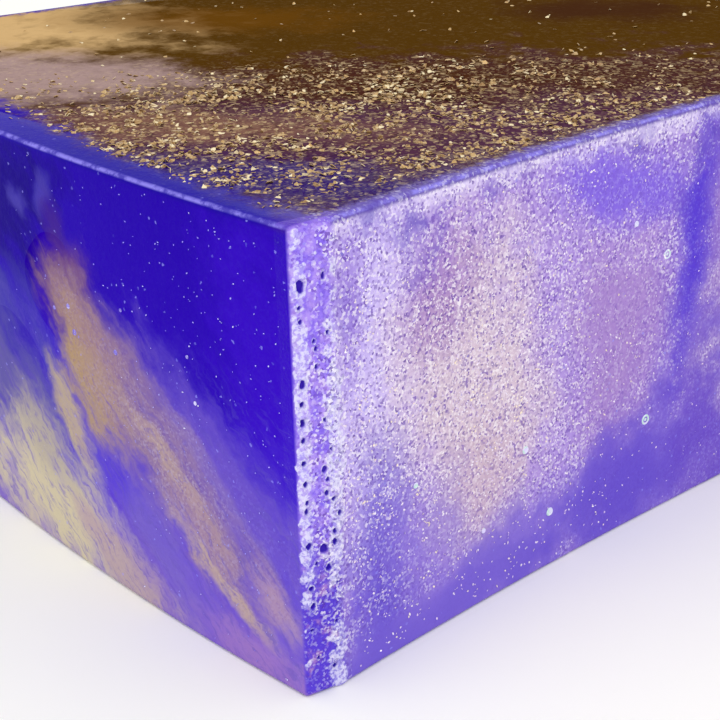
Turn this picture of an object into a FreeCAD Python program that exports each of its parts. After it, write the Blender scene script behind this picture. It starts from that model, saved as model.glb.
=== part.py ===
import FreeCAD, Part
import math
import os
import Sketcher
from FreeCAD import Placement, Rotation, Vector

# A cast soap bar: two violet pours that set one on the other, clouds of gold and pearl mica soap
# that set against the walls, mica skins on the poured top, and a bubbly bead of soap down each
# corner. It came out of a flexible mould, so its short walls bulge and its long walls are hollow.
# Millimetres; +Z up; the origin is the middle of the footprint, on the flat underside.

DIMENSIONS = {
    "bar_width": 55.0,          # X, over the corner strips
    "bar_length": 80.0,         # Y, over the bulged end walls
    "bar_height": 25.0,         # Z
    "end_bulge": 1.8,           # how far each short wall bulges out
    "side_hollow": 1.8,         # how far each long wall sinks in
    "strip_width": 2.2,         # flat strip at each end of a long wall
    "strip_set_in": 0.3,        # how far that strip leans in at the corner
    "foot_round": 0.4,          # rounding around the underside
    "bead_depth": 0.9,          # corner bead, in from the long wall
    "bead_return": 0.6,         # corner bead, past the strip along the long wall
    "pit_pitch": 1.15,          # spacing of the burst bubbles down a bead
    "pit_radius": 0.24,         # the largest of them
    "pit_depth": 0.25,
    "mica_recess": 0.1,         # the mica skins set this far below the rim
    "mica_depth": 1.4,
    "bronze_depth": 2.6,
    "cream_depth": 2.0,
    "flake_radius": 0.34,
    "flake_thickness": 0.08,
    "flake_spacing": 1.5,
    "gold_depth": 7.0,          # how far the end-wall clouds reach in
    "streak_depth": 4.0,
    "rose_depth": 3.0,
    "pearl_depth": 4.5,         # how far the side-wall clouds reach in
}
OVERHANG = 3.0                  # how far a forming body stands out past the bar
TOUCHING = 1e-6                 # two places this close are one
FLAKE_COUNT = 90
FLAKES_ABOUT = Vector(12.0, -24.0, 0.0)

# Outlines of the clouds. Top ones are (x, y), end-wall ones (x, z), side-wall ones (y, z).
GOLD_SKIN = [(-25.0, -37.0), (-4.0, -38.2), (8.0, -36.6), (15.0, -34.4), (20.0, -30.5), (23.2, -25.0),
             (24.6, -16.0), (24.6, 0.0), (24.8, 22.0), (23.5, 36.0), (0.0, 38.0), (-23.5, 36.0),
             (-24.6, 10.0), (-24.6, -18.0)]
BRONZE_POOL = [(-12.0, -24.0), (-1.0, -15.5), (8.0, -6.5), (15.0, 3.0), (14.0, 14.0), (4.0, 20.0),
               (-10.0, 16.0), (-20.0, 4.0), (-22.0, -9.0), (-18.5, -19.5)]
CREAM_SWIRL = [(-23.0, -33.0), (-15.0, -35.0), (-9.0, -31.0), (-12.0, -26.5), (-18.5, -22.5), (-23.0, -25.0)]
GOLD_STREAK = [(5.0, 18.2), (8.2, 20.4), (12.0, 17.6), (16.5, 13.6), (21.0, 9.8), (25.0, 7.0), (26.4, 5.0),
               (25.0, 3.4), (21.0, 5.4), (16.5, 8.4), (11.5, 11.0), (7.5, 14.0)]
GOLD_CLOUD = [(-16.0, 3.0), (-11.0, 9.5), (-3.5, 12.6), (3.0, 14.2), (7.0, 10.6), (11.0, 6.6), (16.0, 3.0),
              (17.0, -1.2), (2.0, -1.8), (-13.0, -1.4)]
GOLD_WISP = [(17.4, 4.4), (20.4, 3.6), (24.0, 1.8), (25.2, 2.3), (22.6, 4.0), (19.6, 5.5)]
ROSE_POOL = [(19.5, -1.0), (20.0, 0.9), (23.0, 1.4), (25.6, 2.4), (28.4, 2.2), (28.6, -1.0), (24.0, -1.4)]
PEARL_CLOUD = [(-33.0, 21.5), (-32.6, 13.0), (-30.5, 6.0), (-26.0, 2.6), (-19.5, 3.2), (-15.0, 7.5),
               (-12.4, 14.0), (-12.0, 21.0), (-16.0, 23.8), (-24.0, 23.4), (-30.0, 23.9)]
PEARL_FAR = [(-4.6, 22.6), (-5.6, 14.0), (-3.4, 6.5), (4.0, 4.0), (13.0, 6.6), (17.5, 14.0), (13.0, 21.0), (3.0, 23.6)]
PEARL_LEFT = [(-24.0, 20.0), (-26.0, 11.5), (-17.0, 4.6), (-3.0, 5.6), (9.0, 10.0), (10.0, 18.0), (-4.0, 22.4)]
GOLD_BACK = [(-19.0, 5.0), (-14.0, 12.0), (-4.0, 14.0), (6.0, 17.8), (13.0, 15.0), (10.0, 9.0), (0.0, 4.6),
             (-11.0, 2.2)]
# The top of the lower pour, left to right: it is highest left of the middle and falls to the corner.
POUR_LINE = [(-31.0, 11.0), (-20.0, 13.6), (-8.0, 16.2), (4.0, 15.4), (14.0, 11.2), (24.0, 6.2), (31.0, 4.6)]

os.makedirs("parts", exist_ok=True)
doc = FreeCAD.newDocument("soap_bar")
sheet = doc.addObject("Spreadsheet::Sheet", "dims")
for row, (alias, value) in enumerate(DIMENSIONS.items(), start=1):
    sheet.set(f"A{row}", alias)
    sheet.set(f"B{row}", str(value))
    sheet.setAlias(f"B{row}", alias)
doc.recompute()


def dim(alias):
    return float(sheet.get(alias))


CORNER_X = dim("bar_width") / 2
CORNER_Y = dim("bar_length") / 2 - dim("end_bulge")
STRIP_Y = CORNER_Y - dim("strip_width")
BED = dim("bar_height") - dim("mica_recess")


# ---- how a body is formed -------------------------------------------------------------------------

def sketch_on(body, role):
    plane = next(item for item in body.Origin.OriginFeatures if item.Role == role)
    sketch = body.newObject("Sketcher::SketchObject", f"{body.Name}_sketch")
    sketch.AttachmentSupport = [(plane, "")]
    sketch.MapMode = "FlatFace"
    return sketch


def pad(body, sketch, length, flip=False):
    feature = body.newObject("PartDesign::Pad", f"{body.Name}_pad")
    feature.Profile = sketch
    feature.setExpression("Length", length)
    feature.Reversed = flip
    return feature


def hold_at(sketch, edge, end, corner, rules):
    """Hold one end of an edge at its distances from the sketch's origin."""
    for axis, at, rule in zip("XY", corner, rules):
        ends = (-1, 1, edge, end) if at > 0 else (edge, end, -1, 1)
        index = sketch.addConstraint(Sketcher.Constraint(f"Distance{axis}", *ends, abs(at)))
        sketch.setExpression(f"Constraints[{index}]", rule)


def whole_bar():
    """The outline of the bar: a flat strip at every corner, hollow sides and bulged ends."""
    body = doc.addObject("PartDesign::Body", "whole_bar")
    sketch = sketch_on(body, "XY_Plane")
    nose_x = CORNER_X - dim("strip_set_in")
    nose = "dims.bar_width / 2 - dims.strip_set_in", "dims.bar_length / 2 - dims.end_bulge"
    heel = "dims.bar_width / 2", "dims.bar_length / 2 - dims.end_bulge - dims.strip_width"
    for right, back in ((1, -1), (1, 1), (-1, 1), (-1, -1)):
        nose_at = (right * nose_x, back * CORNER_Y)
        heel_at = (right * CORNER_X, back * STRIP_Y)
        strip = sketch.addGeometry(Part.LineSegment(Vector(*nose_at), Vector(*heel_at)), False)
        hold_at(sketch, strip, 1, nose_at, nose)
        hold_at(sketch, strip, 2, heel_at, heel)

    hollow_x = CORNER_X - dim("side_hollow")
    bulge_y = CORNER_Y + dim("end_bulge")
    side_radius = f"(({heel[1]})^2 + dims.side_hollow^2) / (2 * dims.side_hollow)"
    end_radius = f"(({nose[0]})^2 + dims.end_bulge^2) / (2 * dims.end_bulge)"
    walls = [((CORNER_X, -STRIP_Y), (hollow_x, 0), (CORNER_X, STRIP_Y), 2, (0, 1), side_radius),
             ((nose_x, CORNER_Y), (0, bulge_y), (-nose_x, CORNER_Y), 1, (1, 2), end_radius),
             ((-CORNER_X, STRIP_Y), (-hollow_x, 0), (-CORNER_X, -STRIP_Y), 2, (2, 3), side_radius),
             ((-nose_x, -CORNER_Y), (0, -bulge_y), (nose_x, -CORNER_Y), 1, (3, 0), end_radius)]
    for start, middle, stop, strip_end, strips, radius in walls:
        points = [Vector(*point) for point in (start, middle, stop)]
        wall = sketch.addGeometry(Part.Arc(*points), False)
        for point, strip in zip((points[0], points[2]), strips):
            wall_end = 1 if sketch.getPoint(wall, 1).isEqual(point, TOUCHING) else 2
            sketch.addConstraint(Sketcher.Constraint("Coincident", wall, wall_end, strip, strip_end))
        value = sketch.Geometry[wall].Radius
        index = sketch.addConstraint(Sketcher.Constraint("Radius", wall, value))
        sketch.setExpression(f"Constraints[{index}]", radius)

    block = pad(body, sketch, "dims.bar_height")
    doc.recompute()
    underside = [f"Edge{number}" for number, edge in enumerate(block.Shape.Edges, start=1)
                 if edge.BoundBox.ZMax < TOUCHING]
    foot = body.newObject("PartDesign::Fillet", "foot_fillet")
    foot.Base = (block, underside)
    foot.setExpression("Radius", "dims.foot_round")
    return body


def cloud_form(name, wall, outline, depth):
    """A body with a cloud's outline that runs from `depth` behind its wall to outside the bar."""
    plane, flip, axis, face, sign = {
        "front": ("XZ_Plane", False, "y", "dims.bar_length / 2", -1),
        "back": ("XZ_Plane", True, "y", "dims.bar_length / 2", 1),
        "right": ("YZ_Plane", False, "x", "dims.bar_width / 2", 1),
        "left": ("YZ_Plane", True, "x", "dims.bar_width / 2", -1),
        "top": ("XY_Plane", False, "z", "(dims.bar_height - dims.mica_recess)", 1),
    }[wall]
    body = doc.addObject("PartDesign::Body", f"{name}_form")
    sketch = sketch_on(body, plane)
    curve = Part.BSplineCurve()
    curve.interpolate([Vector(*point) for point in outline], PeriodicFlag=True)
    sketch.addGeometry(curve, False)
    reach = 0 if wall == "top" else OVERHANG
    pad(body, sketch, f"{depth} + {reach}", flip)
    body.setExpression(f"Placement.Base.{axis}", f"{sign} * ({face} - {depth})")
    return body


def corner_form(name, right, back):
    """A square post that takes in one corner strip and a little of the long wall beyond it."""
    post = doc.addObject("Part::Box", f"{name}_form")
    length = f"(dims.bead_depth + {OVERHANG})"
    width = f"(dims.strip_width + dims.bead_return + {OVERHANG})"
    inner_x = "(dims.bar_width / 2 - dims.bead_depth)"
    inner_y = "(dims.bar_length / 2 - dims.end_bulge - dims.strip_width - dims.bead_return)"
    post.setExpression("Length", length)
    post.setExpression("Width", width)
    post.setExpression("Height", f"dims.bar_height + {2 * OVERHANG}")
    post.setExpression("Placement.Base.x", inner_x if right > 0 else f"-{inner_x} - {length}")
    post.setExpression("Placement.Base.y", inner_y if back > 0 else f"-{inner_y} - {width}")
    post.setExpression("Placement.Base.z", f"-{OVERHANG}")
    return post


def burst_bubbles(name, right, back):
    """Two rows of round pits where bubbles broke open: one down each long edge of a corner strip."""
    rows = [(Vector(right * (CORNER_X - dim("strip_set_in")), back * CORNER_Y), Vector(right, 0.8 * back)),
            (Vector(right * CORNER_X, back * STRIP_Y), Vector(right, 0.1 * back))]
    pits = []
    for row, (edge, outwards) in enumerate(rows):
        for step in range(int(dim("bar_height") / dim("pit_pitch")) - 1):
            wander = 0.25 * math.sin(2.4 * step + 1.7 * row + right + 2 * back)
            radius = dim("pit_radius") * (0.75 + 0.25 * math.cos(3.1 * step + row))
            floor = edge - outwards * dim("pit_depth")
            floor.z = dim("pit_pitch") * (step + 1 + wander)
            pits.append(Part.makeCylinder(radius, OVERHANG, floor, outwards))
    group = doc.addObject("Part::Feature", f"{name}_bubbles")
    group.Shape = Part.makeCompound(pits)
    return group


def boolean(kind, name, base, tool):
    result = doc.addObject(f"Part::{kind}", name)
    result.Base = base
    result.Tool = tool
    return result


def mica_flakes():
    """Coarse six-sided flakes that lie on the gold skin, spaced as seeds are on a sunflower."""
    golden_angle = math.pi * (3 - math.sqrt(5))
    flakes = []
    for number in range(FLAKE_COUNT):
        turn = number * golden_angle
        out = dim("flake_spacing") * math.sqrt(number + 0.5) / math.sqrt(2)
        radius = dim("flake_radius") * (0.7 + 0.3 * math.sin(5.0 * number))
        rim = [Rotation(Vector(0, 0, 1), 60 * side).multVec(Vector(radius, 0, 0)) for side in range(7)]
        flake = Part.Face(Part.makePolygon(rim)).extrude(Vector(0, 0, dim("flake_thickness")))
        centre = FLAKES_ABOUT + Vector(out * math.cos(turn), out * math.sin(turn), BED)
        flake.Placement = Placement(centre, Rotation(Vector(0, 0, 1), math.degrees(turn)))
        flakes.append(flake)
    group = doc.addObject("Part::Feature", "mica_flakes_top")
    group.Shape = Part.makeCompound(flakes)
    return group


# ---- the bar, carved into its pieces --------------------------------------------------------------

CLOUDS = [
    ("bronze_pool_top", "top", BRONZE_POOL, "dims.bronze_depth"),
    ("cream_swirl_top", "top", CREAM_SWIRL, "dims.cream_depth"),
    ("gold_skin_top", "top", GOLD_SKIN, "dims.mica_depth"),
    ("gold_streak_front", "front", GOLD_STREAK, "dims.streak_depth"),
    ("gold_cloud_front", "front", GOLD_CLOUD, "dims.gold_depth"),
    ("gold_wisp_front", "front", GOLD_WISP, "dims.streak_depth"),
    ("rose_pool_front", "front", ROSE_POOL, "dims.rose_depth"),
    ("gold_cloud_back", "back", GOLD_BACK, "dims.gold_depth"),
    ("pearl_cloud_right", "right", PEARL_CLOUD, "dims.pearl_depth"),
    ("pearl_cloud_far_right", "right", PEARL_FAR, "dims.pearl_depth"),
    ("pearl_cloud_left", "left", PEARL_LEFT, "dims.pearl_depth"),
]
CORNERS = [("front_right", 1, -1), ("back_right", 1, 1), ("back_left", -1, 1), ("front_left", -1, -1)]


def recess_form():
    """The hollow above the mica skins, which stand a little below the violet rim."""
    body = doc.addObject("PartDesign::Body", "recess_form")
    sketch = sketch_on(body, "XY_Plane")
    curve = Part.BSplineCurve()
    curve.interpolate([Vector(*point) for point in GOLD_SKIN], PeriodicFlag=True)
    sketch.addGeometry(curve, False)
    pad(body, sketch, f"dims.mica_recess + {OVERHANG}")
    body.setExpression("Placement.Base.z", "dims.bar_height - dims.mica_recess")
    return body


def lower_pour_form():
    """A block right across the bar, with the wavy top that the first pour set to."""
    body = doc.addObject("PartDesign::Body", "lower_pour_form")
    sketch = sketch_on(body, "XZ_Plane")
    line = Part.BSplineCurve()
    line.interpolate([Vector(*point) for point in POUR_LINE])
    left, right = POUR_LINE[0], POUR_LINE[-1]
    corners = [right, (right[0], -OVERHANG), (left[0], -OVERHANG), left]
    sketch.addGeometry(line, False)
    for start, stop in zip(corners, corners[1:]):
        sketch.addGeometry(Part.LineSegment(Vector(*start), Vector(*stop)), False)
    pad(body, sketch, f"dims.bar_length + {2 * OVERHANG}")
    body.setExpression("Placement.Base.y", f"dims.bar_length / 2 + {OVERHANG}")
    return body


def carve():
    """Take each piece out of what is left of the bar. Every piece meets its neighbours face to face."""
    pieces = [mica_flakes()]
    left = boolean("Cut", "bar_with_recess", whole_bar(), recess_form())
    for corner, right, back in CORNERS:
        name = f"corner_bead_{corner}"
        form = corner_form(name, right, back)
        strip = boolean("Common", f"{name}_strip", left, form)
        pieces.append(boolean("Cut", name, strip, burst_bubbles(name, right, back)))
        left = boolean("Cut", f"without_{name}", left, form)
    for name, wall, outline, depth in CLOUDS:
        form = cloud_form(name, wall, outline, depth)
        pieces.append(boolean("Common", name, left, form))
        left = boolean("Cut", f"without_{name}", left, form)
    form = lower_pour_form()
    pieces.append(boolean("Common", "violet_lower_pour", left, form))
    pieces.append(boolean("Cut", "violet_upper_pour", left, form))
    return pieces


def main():
    pieces = carve()
    doc.recompute()
    for item in doc.Objects:
        if "Invalid" in item.State or "Error" in item.State:
            raise RuntimeError(f"{item.Label} failed: {item.State}")
    for piece in pieces:
        if piece.Shape.isNull() or not piece.Shape.isValid() or not piece.Shape.Solids:
            raise RuntimeError(f"{piece.Label} has no sound solid")
        piece.Shape.exportStep(f"parts/{piece.Label}.step")
        print(f"{piece.Label}: {len(piece.Shape.Solids)} solid(s), {piece.Shape.Volume:.2f} mm3")
    total = sum(piece.Shape.Volume for piece in pieces)
    print(f"all pieces {total:.1f} mm3, whole bar {doc.getObject('whole_bar').Shape.Volume:.1f} mm3")


main()
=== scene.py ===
"""A cast mica soap bar, seen from close by: violet soap with gold and pearl swirls, a gold mica skin on
the poured top, and a frosty, bubbly bead down each corner. Lengths on the bar are in millimetres until
a mesh is made, and MM turns them into metres. The floor and the lights are placed in metres."""

import math

import bpy
import numpy as np
from mathutils import Matrix, Vector
from mathutils.bvhtree import BVHTree


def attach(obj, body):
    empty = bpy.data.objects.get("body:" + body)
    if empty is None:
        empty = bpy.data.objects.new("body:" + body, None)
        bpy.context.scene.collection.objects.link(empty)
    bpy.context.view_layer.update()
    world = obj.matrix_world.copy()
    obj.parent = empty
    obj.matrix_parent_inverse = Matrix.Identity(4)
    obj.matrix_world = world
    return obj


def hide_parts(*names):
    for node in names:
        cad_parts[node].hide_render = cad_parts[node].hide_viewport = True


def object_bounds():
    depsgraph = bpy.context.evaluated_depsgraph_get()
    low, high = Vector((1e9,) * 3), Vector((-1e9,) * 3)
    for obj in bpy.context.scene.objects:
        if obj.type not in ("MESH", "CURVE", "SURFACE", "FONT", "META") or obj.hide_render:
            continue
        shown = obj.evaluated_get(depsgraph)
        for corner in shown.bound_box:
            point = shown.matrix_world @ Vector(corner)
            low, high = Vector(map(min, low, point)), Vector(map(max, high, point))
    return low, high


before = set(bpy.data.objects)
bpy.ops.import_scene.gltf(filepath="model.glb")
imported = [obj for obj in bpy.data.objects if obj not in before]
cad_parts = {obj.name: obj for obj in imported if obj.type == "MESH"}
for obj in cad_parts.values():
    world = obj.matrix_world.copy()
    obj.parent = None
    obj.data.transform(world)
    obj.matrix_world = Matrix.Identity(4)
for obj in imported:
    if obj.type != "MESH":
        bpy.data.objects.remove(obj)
cad_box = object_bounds()

MM = 0.001
HALF_X = cad_box[1].x / MM                  # half the width, over the corner strips
HALF_Y = cad_box[1].y / MM                  # half the length, over the bulged ends
TALL = cad_box[1].z / MM
END_BULGE = 1.8
SIDE_HOLLOW = 1.8
STRIP_WIDTH = 2.2
STRIP_SET_IN = 0.3
NOSE_Y = HALF_Y - END_BULGE                 # where an end wall meets the corner strips
HEEL_Y = NOSE_Y - STRIP_WIDTH               # where a corner strip meets the long wall
EDGE_ROUND = 0.28
SKIN_DEPTH = 0.6                            # thickness of the shell that each piece is
MICA_SUNK = 0.09                            # how far the mica skin lies below the rim of the top
BEAD_IN = 0.9                               # how far in from the side a corner bead begins
BEAD_PAST_HEEL = 0.6                        # how far a bead runs on along the long wall
NEAR_BEAD_CUT = 0.07                        # face size on the bead of the near corner
FAR_BEAD_CUT = 0.15                         # and on the other three
FLAKE_COUNT = 4000
PEARL_COUNT = 4200
SPECK_COUNT = 420

rng = np.random.default_rng(7)


# ---- numbers --------------------------------------------------------------------------------------

def smoothstep(low, high, value):
    t = np.clip((value - low) / (high - low), 0.0, 1.0)
    return t * t * (3.0 - 2.0 * t)


def noise(points, size, seed):
    """Smooth noise from -1 to 1, with bumps about `size` millimetres across."""
    scaled = points / size + seed * 17.31
    cell = np.floor(scaled).astype(np.int64)
    part = scaled - cell
    part = part * part * (3.0 - 2.0 * part)
    total = np.zeros(len(points))
    for step in np.ndindex(2, 2, 2):
        at = cell + np.array(step)
        mixed = at[:, 0] * 374761393 + at[:, 1] * 668265263 + at[:, 2] * 1274126177 + seed * 362437
        mixed = (mixed ^ (mixed >> 13)) * 1103515245
        mixed = mixed ^ (mixed >> 16)
        value = (mixed & 0xFFFF) / 32767.5 - 1.0
        weight = np.prod(np.where(np.array(step), part, 1.0 - part), axis=1)
        total += weight * value
    return total


def spread(low, high, fine_low, coarse, fine_high):
    """Places from low to high, fine at each end and coarse in the middle."""
    places, at = [low], low
    while at < high:
        near_low = fine_low + 0.09 * (at - low)
        near_high = fine_high + 0.09 * (high - at)
        at += min(near_low, near_high, coarse)
        places.append(at)
    places = np.array(places)
    return low + (places - low) * (high - low) / (places[-1] - low)


# ---- the shape of the bar -------------------------------------------------------------------------

def bowed(points):
    """Bends a straight box into the bar: the ends bulge, the sides are hollow, the strips lean in."""
    x, y, z = points.T
    along = np.abs(y)
    hollow = HALF_X - SIDE_HOLLOW * (1.0 - (along / HEEL_Y) ** 2)
    strip = HALF_X - STRIP_SET_IN * (along - HEEL_Y) / STRIP_WIDTH
    reach_x = np.where(along < HEEL_Y, hollow, strip)
    nose_x = HALF_X - STRIP_SET_IN
    reach_y = NOSE_Y + END_BULGE * (1.0 - np.minimum(np.abs(x) / nose_x, 1.0) ** 2)
    return np.stack([x * reach_x / HALF_X, y * reach_y / NOSE_Y, z], axis=1)


def rounded(points):
    """Rounds the edges of the straight box that the lattice lies on."""
    low = np.array([-HALF_X, -NOSE_Y, 0.0]) + EDGE_ROUND
    high = np.array([HALF_X, NOSE_Y, TALL]) - EDGE_ROUND
    inner = np.clip(points, low, high)
    out = points - inner
    length = np.linalg.norm(out, axis=1, keepdims=True)
    return inner + out / np.maximum(length, 1e-9) * EDGE_ROUND


def grid_quads(code):
    """The faces between the neighbours in a grid of point numbers."""
    corners = [code[:-1, :-1], code[1:, :-1], code[1:, 1:], code[:-1, 1:]]
    return np.stack(corners, axis=-1).reshape(-1, 4)


def lattice(xs, ys, zs, sides):
    """The chosen sides of a box as one mesh: (points, quads). A side is its axis and its end, -1 or 1."""
    counts = (len(xs), len(ys), len(zs))
    quads = []
    for axis, end in sides:
        first, second = [other for other in range(3) if other != axis]
        a, b = np.meshgrid(np.arange(counts[first]), np.arange(counts[second]), indexing="ij")
        index = [None, None, None]
        index[first], index[second] = a, b
        index[axis] = np.full_like(a, 0 if end < 0 else counts[axis] - 1)
        code = (index[0] * counts[1] + index[1]) * counts[2] + index[2]
        quad = grid_quads(code)
        outwards = (end > 0) == (axis != 1)
        quads.append(quad if outwards else quad[:, ::-1])
    quads = np.concatenate(quads)
    used, compact = np.unique(quads, return_inverse=True)
    points = np.stack([xs[used // (counts[1] * counts[2])], ys[used // counts[2] % counts[1]],
                       zs[used % counts[2]]], axis=1)
    return points, compact.reshape(-1, 4)


def normals_of(points, quads):
    """Smooth normals at the points, from the faces round each."""
    a, b, c, d = (points[quads[:, corner]] for corner in range(4))
    flat = np.cross(c - a, d - b)
    total = np.zeros_like(points)
    for corner in range(4):
        for axis in range(3):
            total[:, axis] += np.bincount(quads[:, corner], flat[:, axis], len(points))
    return total / np.maximum(np.linalg.norm(total, axis=1, keepdims=True), 1e-12)


# Burst bubbles down the near strip: height, distance from its nose across the strip, and size.
NEAR_PITS = [
    (22.1, 0.55, 1.7), (21.1, 0.45, 0.8), (20.4, 0.5, 0.8), (19.3, 1.15, 0.8), (18.9, 1.25, 0.7),
    (18.0, 1.25, 0.9), (17.3, 0.5, 1.4), (16.3, 0.42, 1.0), (15.3, 0.42, 1.15), (14.4, 0.42, 0.8),
    (13.2, 0.4, 1.2), (12.1, 0.45, 1.1), (11.1, 0.5, 0.9), (10.6, 0.45, 0.9), (8.7, 0.5, 1.25),
    (7.6, 0.9, 0.7), (6.3, 0.55, 1.1), (5.3, 0.6, 1.1), (3.9, 0.5, 0.7), (2.2, 0.8, 0.7),
    (22.4, 1.75, 0.9), (19.6, 1.9, 0.6), (15.2, 1.6, 0.7), (13.6, 1.9, 0.6), (12.6, 1.5, 1.1),
    (12.0, 1.65, 0.8), (11.3, 1.6, 1.0), (10.9, 1.95, 0.9), (10.0, 2.3, 1.0), (9.1, 1.95, 0.8),
    (8.5, 1.95, 1.1), (8.3, 1.35, 1.7), (7.2, 1.55, 1.2), (6.2, 2.0, 0.6), (4.0, 1.9, 0.7),
    (1.4, 1.7, 0.7),
]
PIT_RADIUS = 0.15                           # half width of a pit of size 1


def far_pits():
    """The same kind of rows for the other three corners, strewn at random."""
    found = []
    for across in (0.45, 1.8):
        for z in np.arange(1.2, TALL - 1.0, 1.15):
            place = (z + rng.uniform(-0.35, 0.35), across + rng.uniform(-0.2, 0.2))
            found.append((*place, rng.uniform(0.7, 1.3)))
    return found


def pits():
    """(centre, half width, half height, depth) of every burst bubble on the four corners."""
    found = []
    for right in (1, -1):
        for back in (-1, 1):
            rows = NEAR_PITS if (right, back) == (1, -1) else far_pits()
            for z, across, size in rows:
                wide = PIT_RADIUS * size * rng.uniform(0.9, 1.1)
                tall = wide * rng.uniform(1.15, 1.6)
                x = HALF_X - STRIP_SET_IN * max(0.0, 1 - across / STRIP_WIDTH)
                centre = np.array([right * x, back * (NOSE_Y - across), z])
                found.append((centre, wide, tall, 0.09 + 0.06 * size))
    return found


PITS = pits()

# How thick the frosty crust is at each height, on the nose of a strip and on its heel.
CRUST_HEIGHTS = [0.0, 1.5, 3.0, 4.2, 5.5, 7.0, 9.0, 12.0, 15.0, 17.0, 19.0, 21.0, 23.0, 25.0]
NOSE_CRUST = [0.35, 0.2, 0.25, 0.3, 0.6, 0.75, 0.85, 0.85, 0.9, 1.0, 0.95, 0.7, 0.55, 0.6]
HEEL_CRUST = [1.0, 1.0, 0.9, 0.35, 0.45, 0.75, 0.95, 1.1, 1.05, 0.8, 0.5, 0.35, 0.35, 0.45]


def crust_at(points):
    """How frosty and granular the soap is, 0 to 1: along both long edges of every corner strip."""
    x, y, z = np.abs(points[:, 0]), np.abs(points[:, 1]), points[:, 2]
    on_corner = smoothstep(HALF_X - 1.3, HALF_X - 0.6, x) * smoothstep(HEEL_Y - 1.6, HEEL_Y - 0.5, y)
    wander = 0.2 * noise(np.stack([points[:, 0], np.zeros_like(x), z], axis=1), 2.0, 5)
    off_end = smoothstep(HALF_X - STRIP_SET_IN - 0.22, HALF_X - STRIP_SET_IN + 0.02, x)
    nose = np.interp(z, CRUST_HEIGHTS, NOSE_CRUST)
    nose = nose * np.exp(-((y - NOSE_Y + 0.38 + wander) / 0.48) ** 2) * off_end
    heel = np.interp(z, CRUST_HEIGHTS, HEEL_CRUST)
    heel = heel * np.exp(-((y - HEEL_Y - 0.1 + 2 * wander) / 0.52) ** 2)
    ragged = 0.42 * noise(points, 0.5, 6) + 0.3 * noise(points, 0.2, 7) + 0.2 * noise(points, 0.11, 13)
    below_top = 1.0 - 0.85 * smoothstep(TALL - 0.25, TALL - 0.08, z)
    return on_corner * below_top * smoothstep(0.3, 0.85, np.maximum(nose, heel) + ragged)


def relief(points, facing):
    """Height in mm that the surface stands out by, and its crust and pit masks."""
    x, y, z = points.T
    height = 0.022 * noise(points, 7.0, 1) + 0.008 * noise(points, 1.8, 2)
    top = smoothstep(0.5, 0.9, facing[:, 2])
    from_edge = np.minimum(HALF_X - SIDE_HOLLOW * 0.6 - np.abs(x), HALF_Y - 0.8 - np.abs(y))
    skin = top * smoothstep(0.9, 2.0, from_edge)
    flaky = 0.018 * noise(points, 1.3, 3) + 0.03 * noise(points, 5.0, 8)
    height += skin * (flaky - MICA_SUNK)
    side = smoothstep(0.6, 0.9, np.abs(facing[:, 0]))
    height += side * 0.006 * noise(points, 0.16, 9)
    crust = crust_at(points)
    grit = 0.045 + 0.05 * noise(points, 0.22, 10) + 0.03 * noise(points, 0.11, 11)
    height += crust * grit
    pit = np.zeros(len(points))
    for centre, wide, tall, depth in PITS:
        near = np.where((np.abs(z - centre[2]) < 2.5 * tall) & (np.abs(x - centre[0]) < 1.0)
                        & (np.abs(y - centre[1]) < 1.0))[0]
        if len(near) == 0:
            continue
        offset = points[near] - centre
        across = np.hypot(offset[:, 0], offset[:, 1]) / wide
        reach = np.hypot(across, offset[:, 2] / tall)
        reach = reach * (1.0 + 0.25 * noise(points[near], 0.18, 12))
        bowl = 1.0 - smoothstep(0.55, 1.0, reach)
        rim = np.exp(-((reach - 1.12) / 0.2) ** 2)
        height[near] += -depth * bowl - crust[near] * 0.04 * bowl + 0.035 * rim
        pit[near] = np.maximum(pit[near], bowl)
        crust[near] = np.clip(crust[near] * (1 - bowl) + 0.75 * rim, 0.0, 1.0)
    return height, crust, pit


def shaped(flat, quads):
    """The bar's skin from a flat lattice: (points, their normals, points of its inner side, masks)."""
    nominal = bowed(rounded(flat))
    height, crust, pit = relief(nominal, normals_of(nominal, quads))
    points = nominal + normals_of(nominal, quads) * height[:, None]
    points[:, 2] = np.maximum(points[:, 2], 0.0)
    middle = np.array([0.0, 0.0, TALL / 2])
    shrink = 1.0 - SKIN_DEPTH / np.array([HALF_X, NOSE_Y, TALL / 2])
    inner = bowed(middle + (flat - middle) * shrink)
    return points, normals_of(points, quads), inner, {"crust": crust, "pit": pit}


def make_piece(name, points, faces, normals=None, masks=None):
    """One visible piece of the soap. faces is a list of arrays, one for each number of corners."""
    mesh = bpy.data.meshes.new(name)
    counts = np.concatenate([np.full(len(group), group.shape[1]) for group in faces])
    corners = np.concatenate([group.ravel() for group in faces]).astype(np.int32)
    mesh.vertices.add(len(points))
    mesh.vertices.foreach_set("co", (points * MM).astype(np.float32).ravel())
    mesh.loops.add(len(corners))
    mesh.loops.foreach_set("vertex_index", corners)
    mesh.polygons.add(len(counts))
    mesh.polygons.foreach_set("loop_start", (np.cumsum(counts) - counts).astype(np.int32))
    mesh.polygons.foreach_set("use_smooth", np.full(len(counts), normals is not None))
    mesh.update(calc_edges=True)
    for mask_name, values in (masks or {}).items():
        attribute = mesh.attributes.new(mask_name, "FLOAT", "POINT")
        attribute.data.foreach_set("value", values.astype(np.float32))
    if normals is not None:
        mesh.normals_split_custom_set(normals.astype(np.float32).tolist())
    piece = bpy.data.objects.new(name, mesh)
    bpy.context.scene.collection.objects.link(piece)
    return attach(piece, "root")


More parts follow.
